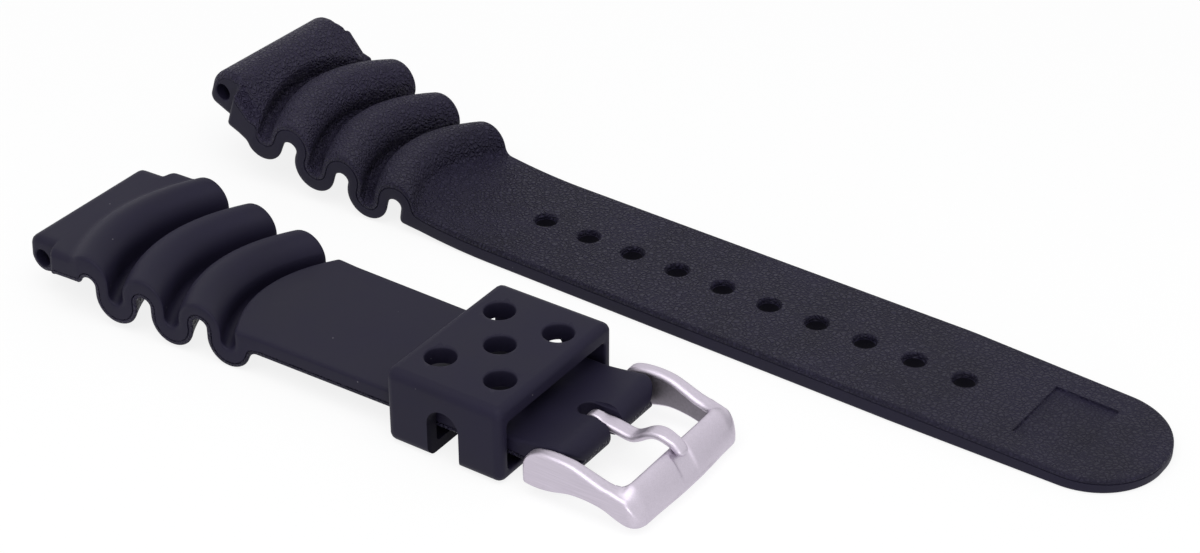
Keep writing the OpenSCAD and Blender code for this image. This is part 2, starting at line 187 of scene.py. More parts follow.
class SteelFinish(PropertyGroup):
    steel_colour: FloatVectorProperty(
        name="Steel", description="Colour of the steel", subtype="COLOR", size=3,
        default=linear("#C6BECB")[:3], min=0.0, max=1.0)
    brush_width: FloatProperty(
        name="Brush line", description="Width of one brushed line",
        default=0.12 * MM, min=0.02 * MM, max=0.5 * MM, unit="LENGTH")


class StageSettings(PropertyGroup):
    lens: FloatProperty(
        name="Lens", description="Focal length on a 36 mm wide sensor", default=80.8, min=20, max=200)
    key_power: FloatProperty(
        name="Overhead light", description="Power of the large soft light above",
        default=2.6, min=0, max=20, unit="POWER")
    backdrop: StringProperty(
        name="Backdrop", description="sRGB colour of the floor and the backdrop", default="#FFFFFF")


# Drawing helpers

def ramp(x, start, end):
    """A soft step: 0 up to start, 1 from end on."""
    t = min(1.0, max(0.0, (x - start) / (end - start)))
    return t * t * (3 - 2 * t)


def arc(cx, cz, r, a, b, steps=24):
    """Points on a circle from the angle a to the angle b, in degrees."""
    angles = np.radians(np.linspace(a, b, steps + 1))
    return [(cx + r * math.cos(t), cz + r * math.sin(t)) for t in angles]


def bend(p, q, r, steps=16):
    """A soft curve from p to r that leaves p and reaches r along the lines through q."""
    return [tuple((1 - t) ** 2 * np.array(p) + 2 * t * (1 - t) * np.array(q) + t * t * np.array(r))
            for t in np.linspace(0, 1, steps + 1)]


def resample(points, count):
    """The same line with count equal steps."""
    pts = np.array(points, float)
    steps = np.hypot(*np.diff(pts, axis=0).T)
    keep = np.concatenate([[True], steps > 1e-9])
    pts = pts[keep]
    along = np.concatenate([[0], np.cumsum(np.hypot(*np.diff(pts, axis=0).T))])
    at = np.linspace(0, along[-1], count + 1)
    return np.stack([np.interp(at, along, pts[:, 0]), np.interp(at, along, pts[:, 1])], axis=1)


def length_of(points):
    return float(np.hypot(*np.diff(np.array(points, float), axis=0).T).sum())


def smooth_curve(points, steps=12):
    """A dense smooth line through the points."""
    p = np.array(points, float)
    p = np.vstack([2 * p[0] - p[1], p, 2 * p[-1] - p[-2]])
    out = []
    for i in range(1, len(p) - 2):
        for t in np.linspace(0, 1, steps, endpoint=False):
            a, b, c, d = p[i - 1:i + 3]
            out.append(0.5 * (2 * b + (c - a) * t + (2 * a - 5 * b + 4 * c - d) * t * t
                              + (3 * b - a - 3 * c + d) * t ** 3))
    out.append(p[-2])
    return np.array(out)


def new_object(name, verts, faces, materials, face_slots=None):
    """A mesh object from points in metres, with doubles merged and normals facing out."""
    mesh = bpy.data.meshes.new(name)
    mesh.from_pydata([tuple(v) for v in verts], [], faces)
    for material in materials:
        mesh.materials.append(material)
    if face_slots is not None:
        mesh.polygons.foreach_set("material_index", face_slots)
    bm = bmesh.new()
    bm.from_mesh(mesh)
    bmesh.ops.remove_doubles(bm, verts=bm.verts, dist=2e-6)
    bmesh.ops.dissolve_degenerate(bm, edges=bm.edges, dist=1e-7)
    bmesh.ops.recalc_face_normals(bm, faces=bm.faces)
    for face in bm.faces:
        face.smooth = True
    bm.to_mesh(mesh)
    bm.free()
    obj = bpy.data.objects.new(name, mesh)
    bpy.context.scene.collection.objects.link(obj)
    return obj


def grid_faces(rows, columns, close_rows=False, close_columns=True):
    """Quads over a grid of points that are stored row after row."""
    faces = []
    for i in range(rows if close_rows else rows - 1):
        for j in range(columns if close_columns else columns - 1):
            a, b = i * columns + j, i * columns + (j + 1) % columns
            c, d = ((i + 1) % rows) * columns + (j + 1) % columns, ((i + 1) % rows) * columns + j
            faces.append((a, b, c, d))
    return faces


def prism(sections):
    """Verts and faces of a closed shape from outlines of equal length, one after another."""
    count = len(sections[0])
    verts = [p for section in sections for p in section]
    faces = grid_faces(len(sections), count)
    faces.append(tuple(reversed(range(count))))
    faces.append(tuple(range(len(verts) - count, len(verts))))
    return verts, faces


def lathe(profile, sides=48):
    """Verts and faces of a closed turned shape about Z; the profile runs from the bottom to the top."""
    return prism([[(r * math.cos(2 * math.pi * k / sides), r * math.sin(2 * math.pi * k / sides), z)
                   for k in range(sides)] for r, z in profile])


def rounded_box(w, low, high, r, straight=14, corner=10):
    """Points and outward normals round a box with round corners, w wide to each side."""
    out = []
    for cx, cz, a in ((w - r, high - r, 0), (r - w, high - r, 90), (r - w, low + r, 180),
                      (w - r, low + r, 270)):
        for t in np.radians(np.linspace(a, a + 90, corner + 1)):
            out.append((cx + r * math.cos(t), cz + r * math.sin(t), math.cos(t), math.sin(t)))
    dense = []
    for k, p in enumerate(out):
        q = out[(k + 1) % len(out)]
        dense.append(p)
        if (k + 1) % (corner + 1) == 0:
            for s in np.linspace(0, 1, straight + 2)[1:-1]:
                dense.append(tuple(p[m] + (q[m] - p[m]) * s for m in range(4)))
    return dense


def turned(profile, sides, move):
    """A lathe shape with its points moved to their place by the function move, in metres."""
    verts, faces = lathe(profile, sides)
    return [Vector(move(*v)) * MM for v in verts], faces


def cutter(shapes, slot):
    """One object out of several closed shapes that don't touch, for a boolean cut."""
    verts, faces = [], []
    for shape_verts, shape_faces in shapes:
        start = len(verts)
        verts += [Vector(v) for v in shape_verts]
        faces += [tuple(i + start for i in f) for f in shape_faces]
    return new_object("cutter", verts, faces, [], [slot] * len(faces))


def cut(obj, shapes, solver="MANIFOLD", slot=0):
    """Cuts the shapes out of the object and writes the result into its mesh."""
    tool = cutter(shapes, slot)
    for material in obj.data.materials:
        tool.data.materials.append(material)
    modifier = obj.modifiers.new("cut", "BOOLEAN")
    modifier.operation = "DIFFERENCE"
    modifier.object = tool
    modifier.solver = solver
    before = len(obj.data.polygons)
    bpy.context.view_layer.update()
    result = bpy.data.meshes.new_from_object(obj.evaluated_get(bpy.context.evaluated_depsgraph_get()))
    obj.modifiers.clear()
    old, obj.data = obj.data, result
    bpy.data.meshes.remove(old)
    bpy.data.objects.remove(tool)
    if len(result.polygons) == before:
        raise RuntimeError("a cut left " + obj.name + " unchanged")


def finish_mesh(obj, angle=38):
    """Smooth shading that keeps true edges crisp and large flat faces flat."""
    mesh = obj.data
    mesh.polygons.foreach_set("use_smooth", [True] * len(mesh.polygons))
    mesh.set_sharp_from_angle(angle=math.radians(angle))
    weighted = obj.modifiers.new("even_normals", "WEIGHTED_NORMAL")
    weighted.keep_sharp = True
    weighted.weight = 60


# Side view of the ribbed end: pairs of outer and inner lines, matched point for point

def plate_z(x):
    """Height of the plate between the lug and the first rib, which rises a little towards the rib."""
    return PLATE_TOP + PLATE_SLOPE * max(0.0, x - TOP_CORNER_X)


def lug_lines(lug_r):
    """Inner line of the lug: its round foot, then the slope to the end of the plate."""
    centre_x = lug_r - LUG_R
    foot = arc(centre_x, LUG_Z - 0.25 * centre_x, lug_r, 180, 305, 40)
    if lug_r > LUG_R:
        # The long strap's deeper lug runs out in a longer slope
        return foot, bend(foot[-1], (5.2, 3.34), (7.9, 4.4))
    return foot, bend(foot[-1], (1.4 * lug_r, PLATE_LOW - 0.2), (LIP_X, PLATE_LOW)) + [(8.0, PLATE_LOW)]


def lug_pairs(lug_r):
    """Outer line of the lug, the inner line below it, and the inner line from there to the first hollow."""
    foot, slope = lug_lines(lug_r)
    slope_x, slope_z = np.array(slope).T
    lower = foot + [p for p in slope[1:] if p[0] < LIP_X - 0.02]
    lower.append((LIP_X, float(np.interp(LIP_X, slope_x, slope_z))))
    nose_x = STEP_FROM
    upper = [foot[0]] + arc(TOP_CORNER_X, PLATE_TOP - TOP_CORNER, TOP_CORNER, 180, 90, 16)
    upper.append((nose_x, plate_z(nose_x)))
    # From its lowest point on, the inner line only runs forward
    bottom = 20
    forward_x, forward_z = np.array(lower[bottom:]).T
    split = [i for i in range(bottom + 1, len(lower)) if lower[i][0] >= nose_x][0]
    nose_low = lower[:split] + [(nose_x, float(np.interp(nose_x, forward_x, forward_z)))]
    rest = [nose_low[-1]] + lower[split:]
    return upper, nose_low, rest


def nose_top():
    """Outer line of the plate, the soft fillet behind it and the first rib up to its crest."""
    swell = arc(CREST_X, CREST_Z - OUTER_R, OUTER_R, 126, 90, 12)
    return [(STEP_FROM, plate_z(STEP_FROM))] + bend((RIB_FOOT, plate_z(RIB_FOOT)), (3.48, plate_z(3.48)),
                                                    swell[0]) + swell[1:]


def rib_pairs(rest_low):
    """Pairs from behind the lug to the flat band."""
    pairs = []
    for k in range(3):
        x = CREST_X + k * PITCH
        crest = CREST_Z - k * CREST_DROP - OUTER_R
        roof = HOLLOW_TOP - k * HOLLOW_DROP - INNER_R
        floor = CHANNEL_FLOOR - k * CHANNEL_DROP + INNER_R
        belly = (2 - k) * BELLY_DROP + OUTER_R
        mid = x + PITCH / 2
        if k == 0:
            top = np.array(nose_top())
            rise = [(STEP_CENTRE, plate_z(STEP_CENTRE))] + [tuple(p) for p in top if p[0] > STEP_CENTRE]
            # The plate rolls over a soft lip into the first hollow
            (ax, az), (bx, bz) = rest_low[-2:]
            lip = (bx + LIP, bz + LIP * (bz - az) / (bx - ax))
            hollow = arc(x, roof, INNER_R, HOLLOW_START, 90, 10)
            pairs.append((rise, rest_low + bend(rest_low[-1], lip, hollow[0])[1:] + hollow[1:]))
        else:
            pairs.append((arc(x, crest, OUTER_R, 180, 90), arc(x, roof, INNER_R, 180, 90)))
        pairs.append((arc(x, crest, OUTER_R, 90, 0), arc(x, roof, INNER_R, 90, 0)))
        pairs.append(([(x + OUTER_R, crest), (x + OUTER_R, floor)],
                      [(x + INNER_R, roof), (x + INNER_R, belly)]))
        pairs.append((arc(mid, floor, INNER_R, 180, 270), arc(mid, belly, OUTER_R, 180, 270)))
        if k < 2:
            pairs.append((arc(mid, floor, INNER_R, 270, 360), arc(mid, belly, OUTER_R, 270, 360)))
            next_crest = crest - CREST_DROP
            next_roof = roof - HOLLOW_DROP
            pairs.append(([(mid + INNER_R, floor), (mid + INNER_R, next_crest)],
                          [(mid + OUTER_R, belly), (mid + OUTER_R, next_roof)]))
        else:
            wall = mid + INNER_R
            up = (arc(mid, floor, INNER_R, 270, 360) + [(wall, BAND_TOP - LIP)]
                  + arc(wall + LIP, BAND_TOP - LIP, LIP, 180, 90, 8)[1:])
            foot = arc(mid, belly, OUTER_R, 270, 340)
            sweep = bend(foot[-1], (31.845, BAND_LOW), (32.7, BAND_LOW))
            pairs.append((up, foot + sweep[1:]))
            pairs.append(([up[-1], (BAND_FROM, BAND_TOP)], [sweep[-1], (BAND_FROM, BAND_LOW)]))
    return pairs


def flat_pair(a, b):
    """The two faces of the flat band from a to b."""
    return [(a, BAND_TOP), (b, BAND_TOP)], [(a, BAND_LOW), (b, BAND_LOW)]


def sag_outer(x):
    """How far the sides lie behind the centre line: the step follows the shoulder, the ribs bow forward."""
    lead = float(np.interp(x, [STEP_FROM, STEP_CENTRE, RIB_FOOT], [0.0, STEP_TO - STEP_CENTRE, SAG]))
    return lead * (1 - ramp(x, SAG_FROM, SAG_TO))


def sag_inner(x):
    """The same for the inner face, where the first hollow starts to bow just behind the step."""
    return SAG * ramp(x, STEP_TO, STEP_TO + 0.45) * (1 - ramp(x, SAG_FROM, SAG_TO))


def shoulder_outline():
    """The step from the lug width to the shoulder, seen from above."""
    r, turn = SHOULDER_CORNER, np.linspace(0, math.pi / 2, 9)
    concave = [(SHOULDER_X - r - 0.05 + r * math.sin(t), LUG_HALF + r - r * math.cos(t)) for t in turn]
    convex = [(SHOULDER_X + r + 0.05 - r * math.cos(t), SHOULDER_HALF - r + r * math.sin(t)) for t in turn]
    return ([(-3.0, LUG_HALF), (STEP_FROM, LUG_HALF)] + concave + convex
            + [(STEP_TO, SHOULDER_HALF), (STEP_TO + 4.0, SHOULDER_HALF)])


def strap_stations(lug_r, band_pairs):
    """Outer and inner points on the centre line, one pair for each cross section."""
    upper, nose_low, rest_low = lug_pairs(lug_r)
    outer, inner = [], []

    def add(o, i, count):
        o, i = resample(o, count), resample(i, count)
        first = 1 if outer else 0
        outer.extend(o[first:])
        inner.extend(i[first:])

    add(upper, nose_low, 30)
    edge_x = [p[0] for p in shoulder_outline() if STEP_FROM < p[0] <= STEP_TO]
    rest = np.array(rest_low)
    for x in edge_x:
        centre = STEP_FROM + (x - STEP_FROM) * (STEP_CENTRE - STEP_FROM) / (STEP_TO - STEP_FROM)
        outer.append(np.array([centre, plate_z(centre)]))
        inner.append(np.array([x, float(np.interp(x, rest[:, 0], rest[:, 1]))]))
    kept = [tuple(inner[-1])] + [p for p in rest_low if p[0] > STEP_TO + 1e-6]
    for o, i in rib_pairs(kept) + band_pairs:
        run = length_of(o)
        count = max(2, int(round(max(run, length_of(i)) / CURVE_STEP)))
        add(o, i, int(run / STRAIGHT_STEP) if run > 15 else count)
    return np.array(outer), np.array(inner)


def inward_normals(points, side):
    """Unit vectors across the line, from a face of the strap into the rubber."""
    ahead = np.gradient(points, axis=0)
    ahead /= np.maximum(1e-9, np.hypot(ahead[:, 0], ahead[:, 1]))[:, None]
    return np.stack([ahead[:, 1], -ahead[:, 0]], axis=1) * side


def shoulder_drop(x, y, depth):
    """How far a face lies lower on the shoulder, beside the plate, than on the plate itself."""
    along = ramp(x, 1.9, 2.3) * (1 - ramp(x, 6.6, 8.2))
    return depth * along * ramp(abs(y), LUG_HALF - 0.05, LUG_HALF + 0.55)


def strap_sections(outer, inner, outline, tip):
    """Cross sections of a strap: its outer and inner point, their normals, bows and half widths, and the
    direction in which the outline faces there. outline gives the half width along X; tip lists extra
    sections (x, half width, nx, ny) after the last station."""
    width_x, width_y = zip(*outline)
    normals_o, normals_i = inward_normals(outer, 1), inward_normals(inner, -1)
    for end in ([0] if tip else [0, -1]):
        middle = normals_o[end] + normals_i[end]
        normals_o[end] = normals_i[end] = middle / np.hypot(*middle)
    sections = []
    for o, i, n_o, n_i in zip(outer, inner, normals_o, normals_i):
        so, si = sag_outer(o[0]), sag_inner(i[0])
        wo, wi = (float(np.interp(x, width_x, width_y)) for x in (o[0] + so, i[0] + si))
        sections.append((o, i, n_o, n_i, so, si, wo, wi, 0.0, 1.0))
    for x, w, nx, ny in tip:
        sections.append((np.array([x, BAND_TOP]), np.array([x, BAND_LOW]), np.array([0, -1.0]),
                         np.array([0, 1.0]), 0.0, 0.0, w, w, nx, ny))
    return sections


def strap_mesh(name, sections, sizes, place, materials, lug_r, ledge):
    """Closed skin of a strap through its sections. ledge is how much lower the shoulder's inner face lies
    than the plate's."""
    slope_x, slope_z = np.array(lug_lines(lug_r)[1]).T
    lip_z = float(np.interp(LIP_X, slope_x, slope_z))
    hollow_z = HOLLOW_TOP - INNER_R + INNER_R * math.sin(math.radians(HOLLOW_START))
    depth = sizes.groove_depth / MM
    from_face = sizes.groove_from_face / MM
    across = np.linspace(-1, 1, 37)
    turn = np.radians([0, 22, 45, 68, 90])
    verts = []
    for o, i, n_o, n_i, so, si, wo, wi, nx, ny in sections:
        # The edges are rounder at the lug end
        round_o = sizes.edge_radius / MM * (2.2 - 1.2 * ramp(o[0] + so, 5.5, 8.5))
        round_i = sizes.edge_radius / MM * (2.2 - 1.2 * ramp(i[0] + si, 1.4, 2.3))
        a = o + n_o * round_o
        b = i + n_i * round_i
        wall = float(np.hypot(*(b - a)))
        # The groove runs out where the wall is thin and in the middle of the tip
        fade = ramp(wall, 0.5, 1.5) * min(1.0, wo / 1.5)
        groove = 1 - min(0.9, max(0.0, (from_face - round_i)) / max(wall, 1e-6))
        half = min(0.3, GROOVE_HALF / max(wall, 1e-6))
        lip = 0.15 * depth * fade
        ring, kind = [], []
        # The inner slope runs straight across the strap, and only the lip of the first hollow bows
        sloped = 1 - ramp(i[1], lip_z, hollow_z) if STEP_TO < i[0] < CREST_X - 0.8 else 0.0

        def put_point(base, sag, w, inset, t, tag, depth_share=0.0):
            """inset is how far the point lies inside the plan outline; t goes from -1 to 1 across."""
            y = t * max(0.0, w - inset * ny)
            share = (y / w) ** 2 if w > 1e-6 else 0.0
            x = base[0] + sag * share - inset * nx
            z = base[1] + depth_share * shoulder_drop(x, y, ledge)
            if sloped:
                here, middle = np.interp(x, slope_x, slope_z), np.interp(i[0], slope_x, slope_z)
                z += depth_share * sloped * float(here - middle)
            ring.append((x, y, z))
            kind.append(tag)

        def round_outer(angle, t):
            put_point(o + n_o * round_o * (1 - math.cos(angle)), so, wo,
                      round_o * (1 - math.sin(angle)), t, 0)

        def round_inner(angle, t):
            put_point(i + n_i * round_i * (1 - math.cos(angle)), si, wi,
                      lip + round_i * (1 - math.sin(angle)), t, 1, 1.0)

        def side_wall(share, inset, tag, t):
            share = min(1.0, share)
            put_point(a + (b - a) * share, so + (si - so) * share, wo + (wi - wo) * share,
                      inset * depth * fade, t, tag, share)

        # Round the section: outer face, side with its groove, inner face, other side
        for t in across:
            put_point(o, so, wo, round_o, t, 0)
        for angle in turn[1:]:
            round_outer(angle, 1)
        wall_marks = [(groove * 0.5, 0, 0), (groove - half, 0, 0), (groove, 1, 1), (groove + half, 0.15, 1),
                      ((1 + groove + half) / 2, 0.15, 1)]
        for share, inset, tag in wall_marks:
            side_wall(share, inset, tag, 1)
        for angle in turn[::-1]:
            round_inner(angle, 1)
        for t in across[::-1][1:]:
            put_point(i, si, wi, lip + round_i, t, 1, 1.0)
        for angle in turn[1:]:
            round_inner(angle, -1)
        for share, inset, tag in wall_marks[::-1]:
            side_wall(share, inset, tag, -1)
        for angle in turn[:0:-1]:
            round_outer(angle, -1)
        verts.extend(place(p) for p in ring)
    columns = len(kind)
    faces = grid_faces(len(sections), columns)
    # Faces from the groove to the inner face are grained
    slots = [1 if kind[j] and kind[(j + 1) % columns] else 0 for _ in sections[1:] for j in range(columns)]
    return new_object(name, [Vector(v) * MM for v in verts], faces, materials, slots)


def place_short(p):
    """From the drawing of the short strap to its place on the table."""
    return (p[0] + SET_X, p[1] + SET_Y, p[2])


def lay_tail(p):
    """From the long strap's own place, lying along X with its hole side up, to its place on the table."""
    x, y = p[0] + CURL_RUN - CURL_END, p[1]
    c, s = math.cos(TAIL_TURN), math.sin(TAIL_TURN)
    return (x * c - y * s + TAIL_X + SET_X, x * s + y * c + TAIL_Y + SET_Y, p[2])


def band_share(u):
    """How much of its full thickness the long band keeps at the distance u from its lug bore."""
    return 1 - (1 - TIP_T / BAND_T) * min(1.0, max(0.0, (u - THIN_FROM) / (TAIL_LENGTH - THIN_FROM)))


def place_tail(p):
    """Turns a drawn point over and curls it up along the strap."""
    back = CURL_END - p[0]
    if back <= 0:
        return lay_tail((p[0], -p[1], (BAND_TOP - p[2]) * band_share(p[0])))
    bent = min(back, CURL_LENGTH)
    straight = back - bent
    turn = bent / CURL_R
    r = CURL_R + p[2] - BAND_LOW
    return lay_tail((CURL_END - r * math.sin(turn) - straight * math.cos(turn), -p[1],
                     BAND_T + CURL_R - r * math.cos(turn) + straight * math.sin(turn)))


def bore_along_y(x, z, r, half, place, flare=0.0):
    """Cutter for a bore across the strap, with its mouths opened out a little."""
    profile = [(r + flare, -half - 1), (r + flare, -half), (r, -half + flare), (r, half - flare),
               (r + flare, half), (r + flare, half + 1)]
    return turned(profile, 48, lambda along_x, along_z, y: place((x + along_x, y, z + along_z)))


# Materials

def put(tree, kind, settings=None, links=None):
    """Adds a node, sets its sockets, properties or colour ramp, and links earlier outputs to its inputs. A
    node given as a link stands for its first output."""
    node = tree.nodes.new(kind)
    for key, value in (settings or {}).items():
        if key == "ramp":
            for element, (position, colour) in zip(node.color_ramp.elements, value):
                element.position, element.color = position, colour
        elif isinstance(key, int) or key in node.inputs:
            node.inputs[key].default_value = value
        else:
            setattr(node, key, value)
    for key, source in (links or {}).items():
        tree.links.new(source.outputs[0] if isinstance(source, bpy.types.Node) else source, node.inputs[key])
    return node


def shade(colour, share):
    """A darker or lighter tone of a linear colour."""
    return [min(1.0, c * share) for c in colour[:3]] + [1]


def material(name):
    """Turns a function that draws a surface into one that gives the material, drawn on first use."""
    def wrap(draw):
        def made():
            found = bpy.data.materials.get(name)
            if found is None:
                found = bpy.data.materials.new(name)
                found.use_nodes = True
                tree = found.node_tree
                tree.nodes.clear()
                at = put(tree, "ShaderNodeTexCoord").outputs["Object"]
                put(tree, "ShaderNodeOutputMaterial", {}, {"Surface": draw(tree, at, bpy.context.scene)})
            return found
        return made
    return wrap


@material("moulded_rubber_satin")
def moulded_rubber(tree, at, scene):
    """Smooth face of moulded polyurethane rubber: near black with a blue violet cast and an even satin
    sheen, faintly clouded, with a fine spark eroded texture from the mould and a few specks of lint."""
    finish = scene.strap_rubber
    base = finish.rubber_colour
    # Clouds 12 mm across, as left by handling
    clouds = put(tree, "ShaderNodeTexNoise", {"Scale": 1 / 0.012, "Detail": 3.0, "Roughness": 0.55},
                 {"Vector": at})
    # Spark eroded texture, about 0.16 mm, coarser than the real 0.05 mm so that it shows in a render
    erosion = put(tree, "ShaderNodeTexNoise", {"Scale": 1 / 0.00016, "Detail": 2.0, "Roughness": 0.6},
                  {"Vector": at})
    # Lint: rare specks about 0.15 mm across
    lint = put(tree, "ShaderNodeTexVoronoi", {"Scale": 1 / 0.004, "Randomness": 1.0}, {"Vector": at})
    speck = put(tree, "ShaderNodeMapRange",
                {"From Min": 0.022, "From Max": 0.03, "To Min": 0.55, "To Max": 0.0}, {"Value": lint})
    tone = put(tree, "ShaderNodeValToRGB", {"ramp": [(0.3, shade(base, 0.86)), (0.7, shade(base, 1.12))]},
               {"Fac": clouds})
    colour = put(tree, "ShaderNodeMix", {"data_type": "RGBA", 7: linear("#8C8A93")},
                 {"Factor": speck, 6: tone})
    rough = put(tree, "ShaderNodeMapRange",
                {"From Min": 0.25, "From Max": 0.75, "To Min": finish.satin - 0.05,
                 "To Max": finish.satin + 0.07}, {"Value": clouds})
    bump = put(tree, "ShaderNodeBump", {"Strength": 0.35, "Distance": 0.00003}, {"Height": erosion})
    return put(tree, "ShaderNodeBsdfPrincipled", {"IOR": 1.5, "Specular IOR Level": finish.sheen_level},
               {"Base Color": colour.outputs[2], "Roughness": rough, "Normal": bump})


@material("moulded_rubber_leather_grain")
def grained_rubber(tree, at, scene):
    """The same rubber where the mould is etched with a leather grain: rounded cells with darker valleys,
    whose tops catch the light one by one, so the face sparkles a little."""
    finish = scene.strap_rubber
    base = finish.rubber_colour
    wander = put(tree, "ShaderNodeTexNoise", {"Scale": 1 / 0.0011, "Detail": 2.0}, {"Vector": at})
    shift = put(tree, "ShaderNodeVectorMath", {"operation": "MULTIPLY_ADD", 1: (0.0007, 0.0007, 0.0007)},
                {0: wander.outputs["Color"], 2: at})
    cells = put(tree, "ShaderNodeTexVoronoi",
                {"feature": "DISTANCE_TO_EDGE", "Scale": 1 / finish.grain_size, "Randomness": 0.95},
                {"Vector": shift})
    domes = put(tree, "ShaderNodeMapRange",
                {"interpolation_type": "SMOOTHSTEP", "From Min": 0.0, "From Max": 0.30, "To Min": 0.0,
                 "To Max": 1.0}, {"Value": cells})
    fine = put(tree, "ShaderNodeTexNoise", {"Scale": 1 / 0.00022, "Detail": 2.0, "Roughness": 0.6},
               {"Vector": at})
    clouds = put(tree, "ShaderNodeTexNoise", {"Scale": 1 / 0.009, "Detail": 3.0}, {"Vector": at})
    # Folds about 1 mm long break up the cells; both fade along the strap, away from the ribbed end
    folds = put(tree, "ShaderNodeTexNoise",
                {"Scale": 1 / 0.0011, "Detail": 4.0, "Roughness": 0.7, "Distortion": 0.8}, {"Vector": at})
    along = put(tree, "ShaderNodeSeparateXYZ", {}, {"Vector": at})
    strength = put(tree, "ShaderNodeMapRange",
                   {"From Min": -0.03, "From Max": 0.07, "To Min": 1.7, "To Max": 0.6}, {"Value": along})
    cover = put(tree, "ShaderNodeMath", {"operation": "MULTIPLY_ADD", 1: 0.35}, {0: fine, 2: domes})
    relief = put(tree, "ShaderNodeMath", {"operation": "MULTIPLY_ADD", 1: 1.8}, {0: folds, 2: cover})
    height = put(tree, "ShaderNodeMath", {"operation": "MULTIPLY"}, {0: relief, 1: strength})
    tops = put(tree, "ShaderNodeMath", {"operation": "MULTIPLY"}, {0: domes, 1: strength})
    mottle = put(tree, "ShaderNodeMath", {"operation": "MULTIPLY_ADD", 1: 0.4}, {0: tops, 2: clouds})
    tone = put(tree, "ShaderNodeValToRGB", {"ramp": [(0.35, shade(base, 0.7)), (1.0, shade(base, 1.42))]},
               {"Fac": mottle})
    # Painted light: the ribbed end is painted a little paler than the band
    ribbed_end_painted_light = put(tree, "ShaderNodeMapRange",
                {"From Min": -0.055, "From Max": -0.025, "To Min": 0.62, "To Max": 0.0}, {"Value": along})
    colour = put(tree, "ShaderNodeMix", {"data_type": "RGBA", 7: linear("#302B42")},
                 {"Factor": ribbed_end_painted_light, 6: tone})
    bump = put(tree, "ShaderNodeBump", {"Strength": 1.0, "Distance": 0.00015}, {"Height": height})
    rough = put(tree, "ShaderNodeMapRange", {"To Min": 0.62, "To Max": 0.40}, {"Value": domes})
    # Handling has polished the ribbed end a little
    gloss = put(tree, "ShaderNodeMapRange",
                {"From Min": -0.055, "From Max": -0.02, "To Min": 0.22, "To Max": finish.sheen_level},
                {"Value": along})
    return put(tree, "ShaderNodeBsdfPrincipled", {"IOR": 1.5},
               {"Base Color": colour.outputs[2], "Roughness": rough, "Specular IOR Level": gloss,
                "Normal": bump})


@material("moulded_rubber_painted_shade")
def painted_shade_rubber(tree, at, scene):
    """The same rubber on the walls of the buckle holes and of the keeper's notch: dull, with fine draw
    marks, and with painted shade, its colour painted much darker than the faces for the shade in these
    hollows."""
    base = scene.strap_rubber.rubber_colour
    # Draw marks about 0.2 mm apart
    marks = put(tree, "ShaderNodeTexNoise", {"Scale": 1 / 0.0002, "Detail": 2.0, "Roughness": 0.6},
                {"Vector": at})
    # Painted shade: the colour is 0.3 to 0.42 of the rubber's own
    tone = put(tree, "ShaderNodeValToRGB", {"ramp": [(0.3, shade(base, 0.3)), (0.7, shade(base, 0.42))]},
               {"Fac": marks})
    bump = put(tree, "ShaderNodeBump", {"Strength": 0.4, "Distance": 0.00003}, {"Height": marks})
    return put(tree, "ShaderNodeBsdfPrincipled", {"IOR": 1.5, "Roughness": 0.75, "Specular IOR Level": 0.1},
               {"Base Color": tone, "Normal": bump})


@material("stainless_steel_satin_brushed")
def brushed_steel(tree, at, scene):
    """Stainless steel with a fine satin brush along the strap: a soft pale grey with a hint of violet,
    and broad highlights that break up into thin lines."""
    base = scene.strap_steel.steel_colour
    width = scene.strap_steel.brush_width
    # Brush lines are drawn about three times as wide as the real 0.04 mm ones, so that they show
    stretch = put(tree, "ShaderNodeMapping", {"Scale": (1 / 0.006, 1 / width, 1 / width)}, {"Vector": at})
    lines = put(tree, "ShaderNodeTexNoise", {"Scale": 1.0, "Detail": 3.0, "Roughness": 0.6},
                {"Vector": stretch})
    patches = put(tree, "ShaderNodeTexNoise", {"Scale": 1 / 0.003, "Detail": 2.0}, {"Vector": at})
    tone = put(tree, "ShaderNodeValToRGB", {"ramp": [(0.25, shade(base, 0.9)), (0.75, shade(base, 1.08))]},
               {"Fac": lines})
    rough = put(tree, "ShaderNodeMapRange",
                {"From Min": 0.3, "From Max": 0.7, "To Min": 0.40, "To Max": 0.50}, {"Value": patches})
    bump = put(tree, "ShaderNodeBump", {"Strength": 0.12, "Distance": 0.000012}, {"Height": lines})
    return put(tree, "ShaderNodeBsdfPrincipled", {"Metallic": 1.0},
               {"Base Color": tone, "Roughness": rough, "Normal": bump})


@material("stainless_steel_painted_shade")
def painted_shade_steel(tree, at, scene):
    """The same steel on the wall round the buckle's window, which no brush reaches: dull, and painted much
    darker than the brushed faces, as painted shade and a painted dark reflection.
    """
    base = scene.strap_steel.steel_colour
    # Tumbling marks about 0.3 mm across
    marks = put(tree, "ShaderNodeTexNoise", {"Scale": 1 / 0.0003, "Detail": 3.0, "Roughness": 0.6},
                {"Vector": at})
    # Painted shade: the colour is 0.34 to 0.44 of the steel's own
    tone = put(tree, "ShaderNodeValToRGB", {"ramp": [(0.3, shade(base, 0.34)), (0.7, shade(base, 0.44))]},
               {"Fac": marks})
    rough = put(tree, "ShaderNodeMapRange", {"To Min": 0.5, "To Max": 0.62}, {"Value": marks})
    bump = put(tree, "ShaderNodeBump", {"Strength": 0.2, "Distance": 0.00002}, {"Height": marks})
    return put(tree, "ShaderNodeBsdfPrincipled", {"Metallic": 1.0},
               {"Base Color": tone, "Roughness": rough, "Normal": bump})


def looked_at(tree):
    """1 for rays from the camera, off a glossy face or through glass, and 0 for the light that falls on
    the strap."""
    path = put(tree, "ShaderNodeLightPath").outputs
    direct = put(tree, "ShaderNodeMath", {"operation": "MAXIMUM"},
                 {0: path["Is Camera Ray"], 1: path["Is Glossy Ray"]})
    return put(tree, "ShaderNodeMath", {"operation": "MAXIMUM"}, {0: direct, 1: path["Is Transmission Ray"]})


